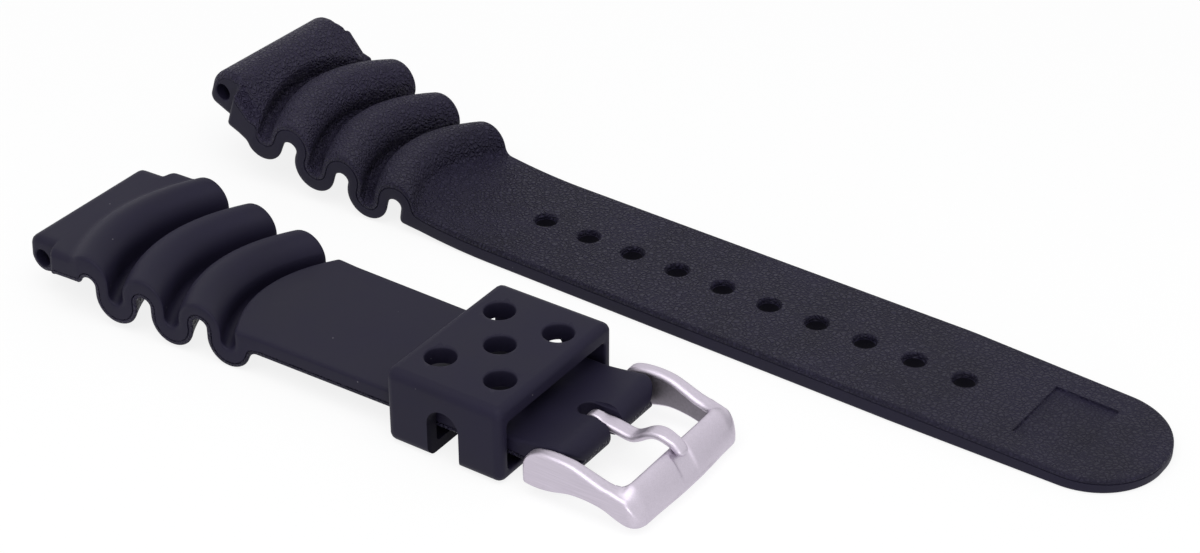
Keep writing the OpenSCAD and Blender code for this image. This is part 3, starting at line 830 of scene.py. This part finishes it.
@material("white_paper_matt")
def white_paper(tree, at, scene):
    """Matt white paper: it shows white to the camera and in reflections, and keeps a faint shadow."""
    paper = linear(scene.strap_stage.backdrop)
    # Paper fibres about 0.8 mm long
    fibres = put(tree, "ShaderNodeTexNoise", {"Scale": 1 / 0.0008, "Detail": 2.0}, {"Vector": at})
    bump = put(tree, "ShaderNodeBump", {"Strength": 0.05, "Distance": 0.00002}, {"Height": fibres})
    diffuse = put(tree, "ShaderNodeBsdfDiffuse", {"Color": shade(paper, 0.8)}, {"Normal": bump})
    faint = put(tree, "ShaderNodeBsdfDiffuse", {"Color": shade(paper, 0.22)}, {"Normal": bump})
    glow = put(tree, "ShaderNodeEmission", {"Color": paper, "Strength": 0.84})
    shown = put(tree, "ShaderNodeAddShader", {}, {0: faint, 1: glow})
    return put(tree, "ShaderNodeMixShader", {}, {0: looked_at(tree), 1: diffuse, 2: shown})


# Pieces

class STRAP_OT_short_strap(Operator):
    """Draws the short strap with its lug bore, ribs, rolled end and the slot for the tang"""
    bl_idname = "watch_strap.short_strap"
    bl_label = "Short strap"

    def execute(self, context):
        sizes = context.scene.strap_sizes
        start = math.radians(ROLL_START)
        far = (ROLL_X + ROLL_R * math.cos(start), BAR_Z + ROLL_R * math.sin(start))
        near_z = 2 * BAR_Z - far[1]
        top = bend((ROLL_FROM, BAND_TOP), (ROLL_BEND, BAND_TOP), far)
        low = bend((ROLL_FROM, BAND_LOW), (ROLL_BEND, BAND_LOW), (far[0], near_z))
        over, under = (arc(ROLL_X, BAR_Z, ROLL_R, angle, 0, 40) for angle in (ROLL_START, -ROLL_START))
        band = [flat_pair(BAND_FROM, ROLL_FROM), (top, low), (over, under)]
        outer, inner = strap_stations(LUG_R, band)
        end_x = ROLL_X + ROLL_R
        corner_x, corner_y = end_x - ROLL_CORNER, ROLL_HALF - ROLL_CORNER
        outline = shoulder_outline() + [(RIB_END, RIB_END_HALF), (BUCKLE_X, ROLL_HALF), (corner_x, ROLL_HALF)]
        outline += [(corner_x + ROLL_CORNER * math.sin(t), corner_y + ROLL_CORNER * math.cos(t))
                    for t in np.linspace(0.1, math.pi / 2, 12)]
        strap = strap_mesh("short_strap_moulding", strap_sections(outer, inner, outline, []), sizes,
                           place_short, [moulded_rubber(), grained_rubber()], LUG_R, 0.0)
        cut(strap, [bore_along_y(0, LUG_Z, LUG_BORE_R, LUG_HALF, place_short, 0.15)])
        cut(strap, [bore_along_y(BUCKLE_X, BAR_Z, BAR_BORE_R, 9.5, place_short, 0.1)])
        # Slot for the tang, open at the rolled end, with its edges eased above and below
        past_end = end_x + 3.15
        sections = []
        for z, grow in ((-1, 0.35), (2.55, 0.3), (2.85, 0.0), (BAR_Z, 0.0), (6.25, 0.0), (6.5, 0.2),
                        (10, 0.25)):
            r = SLOT_R + grow
            round_end = [(SLOT_X + r * math.cos(t), r * math.sin(t))
                         for t in np.linspace(math.pi / 2, 1.5 * math.pi, 24)]
            slot_outline = round_end + [(past_end, -r), (past_end, r)]
            sections.append([Vector(place_short((x, y, z))) * MM for x, y in slot_outline])
        cut(strap, [prism(sections)])
        finish_mesh(strap)
        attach(strap, "short_strap")
        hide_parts("buckle_strap")
        return {"FINISHED"}


class STRAP_OT_long_strap(Operator):
    """Draws the long strap with its curled ribbed end, its row of holes and its bare panel"""
    bl_idname = "watch_strap.long_strap"
    bl_label = "Long strap"

    def execute(self, context):
        sizes = context.scene.strap_sizes
        tip_x = TAIL_LENGTH - TIP_R
        flat = TIP_HALF - TIP_R
        band = [flat_pair(BAND_FROM, CURL_END), flat_pair(CURL_END, tip_x)]
        outer, inner = strap_stations(TAIL_LUG_R, band)
        outline = shoulder_outline() + [(RIB_END, RIB_END_HALF), (CURL_END, TAIL_HALF),
                                        (THIN_FROM, TAIL_HALF), (tip_x, TIP_HALF)]
        tip = [(tip_x + TIP_R * math.sin(t), flat + TIP_R * math.cos(t), math.sin(t), math.cos(t))
               for t in np.linspace(0, math.pi / 2, 30)[1:]]
        tip += [(TAIL_LENGTH, flat * share, 1.0, 0.0) for share in (0.5, 0.0)]
        strap = strap_mesh("long_strap_moulding", strap_sections(outer, inner, outline, tip), sizes,
                           place_tail, [moulded_rubber(), grained_rubber(), painted_shade_rubber()],
                           TAIL_LUG_R, SHOULDER_LEDGE)
        # Each hole is a narrow bore below a wider mouth in the inner face
        r = sizes.hole_diameter / MM / 2
        flare = sizes.hole_flare / MM
        mouth, mouth_low = r + 0.13, BAND_T - 0.7
        bore = [(r + flare + 0.6, -0.6), (r + flare, 0.0), (r + 0.3 * flare, 0.35 * flare), (r, flare),
                (r, BAND_T + 0.6)]
        mouth_wall = [(mouth, mouth_low), (mouth + 0.03, BAND_T - 0.45), (mouth + 0.12, BAND_T - 0.15),
                      (mouth + 0.27, BAND_T), (mouth + 0.87, BAND_T + 0.6)]
        # The bores' walls take slot 2, the rubber with painted shade
        for profile, slot in ((bore, 2), (mouth_wall, 1)):
            shapes = []
            for k in range(sizes.hole_count):
                u = FIRST_HOLE + HOLE_PITCH * k
                shapes.append(turned(profile, 48, lambda x, y, z: lay_tail((u + x, y, z * band_share(u)))))
            cut(strap, shapes, slot=slot)
        # Bare sunk panel near the tip, with eased edges
        sections = []
        for rise, grow in ((-PANEL_DEPTH, 0.0), (0.0, 0.1), (0.5, 0.35)):
            x0, x1, w = PANEL_FROM - grow, PANEL_TO + grow, PANEL_HALF + grow
            sections.append([Vector(lay_tail((x, y, BAND_T * band_share(x) + rise))) * MM
                             for x, y in ((x0, -w), (x1, -w), (x1, w), (x0, w))])
        cut(strap, [bore_along_y(0, LUG_Z, LUG_BORE_R, LUG_HALF, place_tail, 0.15)])
        cut(strap, [prism(sections)], slot=1)
        finish_mesh(strap)
        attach(strap, "long_strap")
        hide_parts("tail_strap")
        return {"FINISHED"}


class STRAP_OT_keeper(Operator):
    """Draws the keeper: a soft edged rubber loop with five holes and an arched notch"""
    bl_idname = "watch_strap.keeper"
    bl_label = "Keeper"

    def execute(self, context):
        length, width, height = 17.2, 24.4, 10.8
        side, top, floor = 1.7, 2.4, 1.5
        outer_corner, inner_corner = 1.4, 0.6
        hole_r, hole_dx, hole_dy = 2.05, 4.5, 6.2
        notch_half, notch_top = 2.2, 7.3
        middle = 67.4
        outside = rounded_box(width / 2, 0, height, outer_corner)
        inside = rounded_box(width / 2 - side, floor, height - top, inner_corner)
        rim_out, rim_in = 1.0, 0.3
        half = length / 2
        turn = np.radians([0, 22, 45, 68, 90])
        rims = [(rim_out * (1 - math.cos(a)), half - rim_out * (1 - math.sin(a)), True) for a in turn]
        rims += [(rim_in * (1 - math.sin(a)), half - rim_in * (1 - math.cos(a)), False) for a in turn]
        verts = []
        for (oy, oz, ony, onz), (iy, iz, iny, inz) in zip(outside, inside):
            ring = []
            # Round the near rim and along the inner wall, then round the far rim and back outside
            for end in (1, -1):
                for depth, x, is_out in rims[::end]:
                    if is_out:
                        ring.append((middle + end * x, oy - ony * depth, oz - onz * depth))
                    else:
                        ring.append((middle + end * x, iy + iny * depth, iz + inz * depth))
                for x in np.linspace(end * (half - 1.2), end * (1.2 - half), 16):
                    ring.append((middle + x, iy, iz) if end == 1 else (middle + x, oy, oz))
            verts += [Vector(place_short(p)) * MM for p in ring]
        count = len(verts) // len(outside)
        faces = grid_faces(len(outside), count, close_rows=True)
        keeper = new_object("keeper_moulding", verts, faces, [moulded_rubber(), painted_shade_rubber()])
        shapes = []
        profile = [(hole_r, height - top - 1), (hole_r, height - 0.22), (hole_r + 0.08, height - 0.08),
                   (hole_r + 0.25, height), (hole_r + 0.25, height + 1)]
        for dx, dy in ((0, 0), (1, 1), (1, -1), (-1, 1), (-1, -1)):
            cx, cy = middle + dx * hole_dx, dy * hole_dy
            shapes.append(turned(profile, 64, lambda x, y, z: place_short((cx + x, cy + y, z))))
        cut(keeper, shapes)
        # Arched notch across the floor and both side walls, opened out towards the outer faces, its walls in
        # the rubber with painted shade
        sections = []
        for y, grow in ((-14, 0.3), (-12.2, 0.18), (-11.95, 0.06), (-11.6, 0.0), (11.6, 0.0), (11.95, 0.06),
                        (12.2, 0.18), (14, 0.3)):
            r = notch_half + grow
            arch = [(middle + r * math.cos(t), notch_top - notch_half + r * math.sin(t))
                    for t in np.linspace(0, math.pi, 28)]
            arch += [(middle - r, -1), (middle + r, -1)]
            sections.append([Vector(place_short((x, y, z))) * MM for x, z in arch])
        cut(keeper, [prism(sections)], slot=1)
        finish_mesh(keeper)
        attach(keeper, "keeper")
        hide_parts("keeper")
        return {"FINISHED"}


class STRAP_OT_buckle(Operator):
    """Draws the steel frame and the tang of the buckle, and finishes the spring bar"""
    bl_idname = "watch_strap.buckle"
    bl_label = "Pin buckle"

    def execute(self, context):
        steel = brushed_steel()
        self.draw_frame(steel)
        self.draw_tang(steel)
        for name in ("spring_bar_tube", "spring_bar_tip_left", "spring_bar_tip_right", "spring_bar_spring"):
            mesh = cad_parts[name].data
            mesh.materials.clear()
            mesh.materials.append(steel)
        return {"FINISHED"}

    def plan(self):
        """Outer and inner line of the frame from one ear round to the other, seen from above."""
        arms = [-2.7, -2.3, -1.8, -1.2, -0.4] + list(np.linspace(0.4, 9.2, 20))
        outer, inner = [], []
        for x in arms:
            outer.append((x, 11.9 - 0.1 * ramp(x, 2, 11)))
            inner.append((x, 10.0 - 0.45 * ramp(x, 2, 10)))
        # Round corners of the frame and of its window, then the front bar, bowed a little in the middle
        corner, corner_x, corner_y = 2.3, 13.6, 11.75
        pane, pane_x, pane_y = 1.1, 10.3, 9.5
        outer += [(10.3, 11.79), (11.0, 11.76)]
        inner += [(10.0 - pane + pane * math.sin(t), pane_y - pane + pane * math.cos(t)) for t in (0.15, 0.3)]
        outer += [(corner_x - corner + corner * math.sin(t), corner_y - corner + corner * math.cos(t))
                  for t in np.linspace(0.08, math.pi / 2, 18)]
        inner += [(pane_x - pane + pane * math.sin(t), pane_y - pane + pane * math.cos(t))
                  for t in np.linspace(0.45, math.pi / 2, 18)]
        for y in (7, 6, 5, 4, 3.2, 2.6, 2.2, 2.0, 1.88, 1.76, 1.64, 1.52, 1.4, 1.1, 0.7, 0.35, 0.0):
            outer.append((14.0 - 0.4 * ramp(y, 1.5, 9), y))
            inner.append((pane_x, y))
        outer = [(-2.98, 11.62), (-2.9, 11.8)] + outer
        inner = [(-2.98, 10.28), (-2.9, 10.1)] + inner
        outer += [(x, -y) for x, y in outer[-2::-1]]
        inner += [(x, -y) for x, y in inner[-2::-1]]
        return outer, inner

    def draw_frame(self, steel):
        """Sweeps a rounded bar section round the frame's plan, between its top and low lines."""
        top_line = smooth_curve([(-3, -0.1), (-2.8, 0.8), (-2.2, 1.6), (-1.2, 2.1), (0.4, 2.4), (2.2, 2.45),
                                 (4, 2.25), (6, 1.6), (8, 0.9), (9.5, 0.65), (10.3, 0.8), (10.8, 1),
                                 (11.2, 0.95), (11.7, 0.7), (12.3, 0.1), (12.9, -0.8), (13.4, -1.7),
                                 (14, -3.1)])
        low_line = smooth_curve([(-3, -2.1), (-2.8, -2.75), (-1, -2.95), (1, -2.7), (3.8, -2), (6.4, -1.95),
                                 (8.6, -2.3), (10.6, -3.1), (12.6, -3.65), (13.7, -3.6), (14, -3.3)])
        outer, inner = self.plan()
        rounding = 0.6
        marks = [0.0, 0.05, 0.17, 0.36, rounding]
        # The seat for the tang is a plane through seat_x, seat_z, sunk by seat_depth along its lean
        seat_x, seat_z, seat_depth, seat_half = 12.2, 0.25, 0.35, 1.95
        lean_x, lean_z = 0.809, 0.588
        rings = []
        for o, i in zip(np.array(outer), np.array(inner)):
            width = float(np.hypot(*(o - i)))
            middle = list(np.linspace(rounding, width - rounding, 14)[1:-1])
            depths = marks + middle + [width - m for m in marks[::-1]]
            section = []
            for d in depths:
                p = i + (o - i) * d / width
                edge = min(d, width - d)
                drop = rounding - math.sqrt(max(0.0, rounding ** 2 - max(0.0, rounding - edge) ** 2))
                # The front bar falls off a little towards both corners
                top = float(np.interp(p[0], top_line[:, 0], top_line[:, 1]))
                top -= 0.8 * ramp(abs(p[1]), 9, 11.5) * ramp(p[0], 9.5, 11)
                low = float(np.interp(p[0], low_line[:, 0], low_line[:, 1]))
                room = max(0.05, (top - low) / 2 - 0.02)
                section.append((p, top - min(drop, room), low + min(0.6 * drop, room)))
            ring = [(p[0], p[1], top) for p, top, low in section]
            last_p, last_top, last_low = section[-1]
            ring += [(last_p[0], last_p[1], last_top + (last_low - last_top) * s) for s in (0.33, 0.67)]
            ring += [(p[0], p[1], low) for p, top, low in section[::-1]]
            first_p, first_top, first_low = section[0]
            ring += [(first_p[0], first_p[1], first_low + (first_top - first_low) * s)
                     for s in (0.33, 0.67)]
            rings.append([])
            for x, y, z in ring:
                over = (x - seat_x) * lean_x + (z - seat_z) * lean_z + seat_depth
                if over > 0 and abs(y) < seat_half and x > 11:
                    share = 1 - ramp(abs(y), seat_half - 0.7, seat_half - 0.05)
                    x, z = x - lean_x * over * share, z - lean_z * over * share
                rings[-1].append(Vector(place_short((BUCKLE_X + x, y, BAR_Z + z))) * MM)
        verts, faces = prism(rings)
        # The last three columns are the wall that faces the window, in the steel with painted shade
        count = len(rings[0])
        slots = [1 if j >= count - 3 else 0 for _ in rings[1:] for j in range(count)] + [0, 0]
        body = new_object("buckle_frame_steel", verts, faces, [steel, painted_shade_steel()], slots)
        # Blind holes in the ears for the spring bar's tips
        hole_r, hole_from, hole_to = 0.5, 9.0, 11.3
        holes = []
        for side in (-1, 1):
            holes.append(turned([(hole_r, hole_from), (hole_r, hole_to)], 32,
                                lambda x, z, y: place_short((BUCKLE_X + x, side * y, BAR_Z + z))))
        cut(body, holes, "EXACT")
        finish_mesh(body, angle=50)
        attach(body, "buckle")
        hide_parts("buckle_frame")

    def draw_tang(self, steel):
        """Bends a flat rod into the tang: its eye round the spring bar, then the arm up to the front bar."""
        eye = 1.385
        curl = [(eye * math.cos(t), eye * math.sin(t)) for t in np.radians(np.linspace(318, 96, 30))]
        rod = smooth_curve([(0.35, 1.3), (1.2, 1.0), (3, 0.74), (4.8, 0.47), (5.7, 0.57), (6.6, 1.06),
                            (7.6, 1.75), (8.6, 2.2), (9.6, 2.25), (10.5, 1.98), (11.3, 1.64), (12.0, 1.06),
                            (12.55, 0.42)], 8)
        count = 120
        line = resample(curl + [tuple(p) for p in rod], count - 1)
        whole = length_of(line)
        curl_share = length_of(curl) / whole
        ahead = np.gradient(line, axis=0)
        ahead /= np.hypot(ahead[:, 0], ahead[:, 1])[:, None]
        across = np.stack([-ahead[:, 1], ahead[:, 0]], axis=1)
        nose = 0.9
        rings = []
        for k in range(count):
            # The eye is thin and narrow; both ends are rounded off
            share = k / (count - 1)
            grown = ramp((share - curl_share) * whole, 0, 2.5)
            left = min(share, 1 - share) * whole
            blunt = math.sqrt(1 - (1 - min(1.0, left / nose + 0.02)) ** 2)
            thick = (0.74 + 0.24 * grown) * (0.25 + 0.75 * blunt)
            wide = (1.6 + 0.76 * grown - 0.4 * ramp(share, 0.8, 1.0)) * (0.12 + 0.88 * blunt)
            r = 0.48 * thick
            ring = []
            for cy, cz, a in ((1, 1, 0), (-1, 1, 90), (-1, -1, 180), (1, -1, 270)):
                for t in np.radians(np.linspace(a, a + 90, 6)):
                    ring.append((cy * max(0.0, wide / 2 - r) + r * math.cos(t),
                                 cz * (thick / 2 - r) + r * math.sin(t)))
            rings.append([])
            for y, h in ring:
                p = line[k] + across[k] * h
                rings[-1].append(Vector(place_short((BUCKLE_X + p[0], y, BAR_Z + p[1]))) * MM)
        tang = new_object("tang_steel", *prism(rings), [steel])
        finish_mesh(tang, angle=50)
        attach(tang, "tang")
        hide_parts("tang")


def aim(obj, place, target):
    """Puts a lamp or the camera in its place, turned to the target."""
    obj.location = place
    obj.rotation_euler = (Vector(target) - obj.location).to_track_quat("-Z", "Y").to_euler()
    bpy.context.scene.collection.objects.link(obj)


def soft_light(name, place, target, width, height, power, colour):
    data = bpy.data.lights.new(name, "AREA")
    data.shape = "RECTANGLE"
    data.size, data.size_y = width, height
    data.energy = power
    data.color = linear(colour)[:3]
    aim(bpy.data.objects.new(name, data), place, target)


class STRAP_OT_stage(Operator):
    """Sets out the pale floor, the soft lights, the world and the camera"""
    bl_idname = "watch_strap.stage"
    bl_label = "Table, lights and camera"

    def execute(self, context):
        scene = context.scene
        stage = scene.strap_stage
        half, steps, below = 4.0, 8, 0.00002
        marks = np.linspace(-half, half, steps + 1)
        verts = [(x, y, -below) for y in marks for x in marks]
        faces = grid_faces(steps + 1, steps + 1, close_columns=False)
        floor = new_object("table_top", verts, faces, [white_paper()])
        soft_light("overhead_softbox", (0.08, -0.2, 0.6), (0, 0, 0), 0.8, 0.6, stage.key_power, "#FFFFFF")
        soft_light("right_fill", (0.57, -0.54, 0.05), (0.02, -0.02, 0), 0.08, 0.08, 1.0, "#FFFFFF")

        world = bpy.data.worlds.new("studio_white")
        world.use_nodes = True
        tree = world.node_tree
        tree.nodes.clear()
        around = put(tree, "ShaderNodeBackground", {"Color": linear("#F6F6F8"), "Strength": 0.3})
        shown = put(tree, "ShaderNodeBackground", {"Color": linear(stage.backdrop), "Strength": 1.0})
        mix = put(tree, "ShaderNodeMixShader", {}, {0: looked_at(tree), 1: around, 2: shown})
        put(tree, "ShaderNodeOutputWorld", {}, {"Surface": mix})
        scene.world = world

        camera_data = bpy.data.cameras.new("camera")
        camera_data.lens = stage.lens
        camera_data.sensor_width = 36.0
        camera_data.clip_start = 0.01
        camera_data.clip_end = 20.0
        camera = bpy.data.objects.new("camera", camera_data)
        # Place and target were solved from the outlines in the photo
        aim(camera, Vector((164.11, -242.38, 196.39)) * MM, Vector((-5.43, 9.64, 3.30)) * MM)
        scene.camera = camera
        scene.view_settings.view_transform = "Standard"
        return {"FINISHED"}


class STRAP_PT_parts(Panel):
    """Lists the pieces of the strap and their settings"""
    bl_idname = "STRAP_PT_parts"
    bl_label = "Watch strap"
    bl_space_type = "VIEW_3D"
    bl_region_type = "UI"
    bl_category = "Watch strap"

    def draw(self, context):
        layout = self.layout
        for group in GROUPS:
            box = layout.box()
            settings = getattr(context.scene, group)
            for name in settings.bl_rna.properties.keys():
                if name not in ("rna_type", "name"):
                    box.prop(settings, name)
        for operator in OPERATORS:
            layout.operator(operator.bl_idname)


GROUPS = {"strap_sizes": StrapSizes, "strap_rubber": RubberFinish, "strap_steel": SteelFinish,
          "strap_stage": StageSettings}
OPERATORS = (STRAP_OT_short_strap, STRAP_OT_long_strap, STRAP_OT_keeper, STRAP_OT_buckle, STRAP_OT_stage)
CLASSES = (*GROUPS.values(), *OPERATORS, STRAP_PT_parts)


def register():
    for cls in CLASSES:
        bpy.utils.register_class(cls)
    for name, group in GROUPS.items():
        setattr(bpy.types.Scene, name, PointerProperty(type=group))


def unregister():
    for name in GROUPS:
        delattr(bpy.types.Scene, name)
    for cls in reversed(CLASSES):
        bpy.utils.unregister_class(cls)


def main():
    register()
    bpy.ops.watch_strap.short_strap()
    bpy.ops.watch_strap.long_strap()
    bpy.ops.watch_strap.keeper()
    bpy.ops.watch_strap.buckle()
    bpy.ops.watch_strap.stage()


if __name__ == "__main__":
    main()
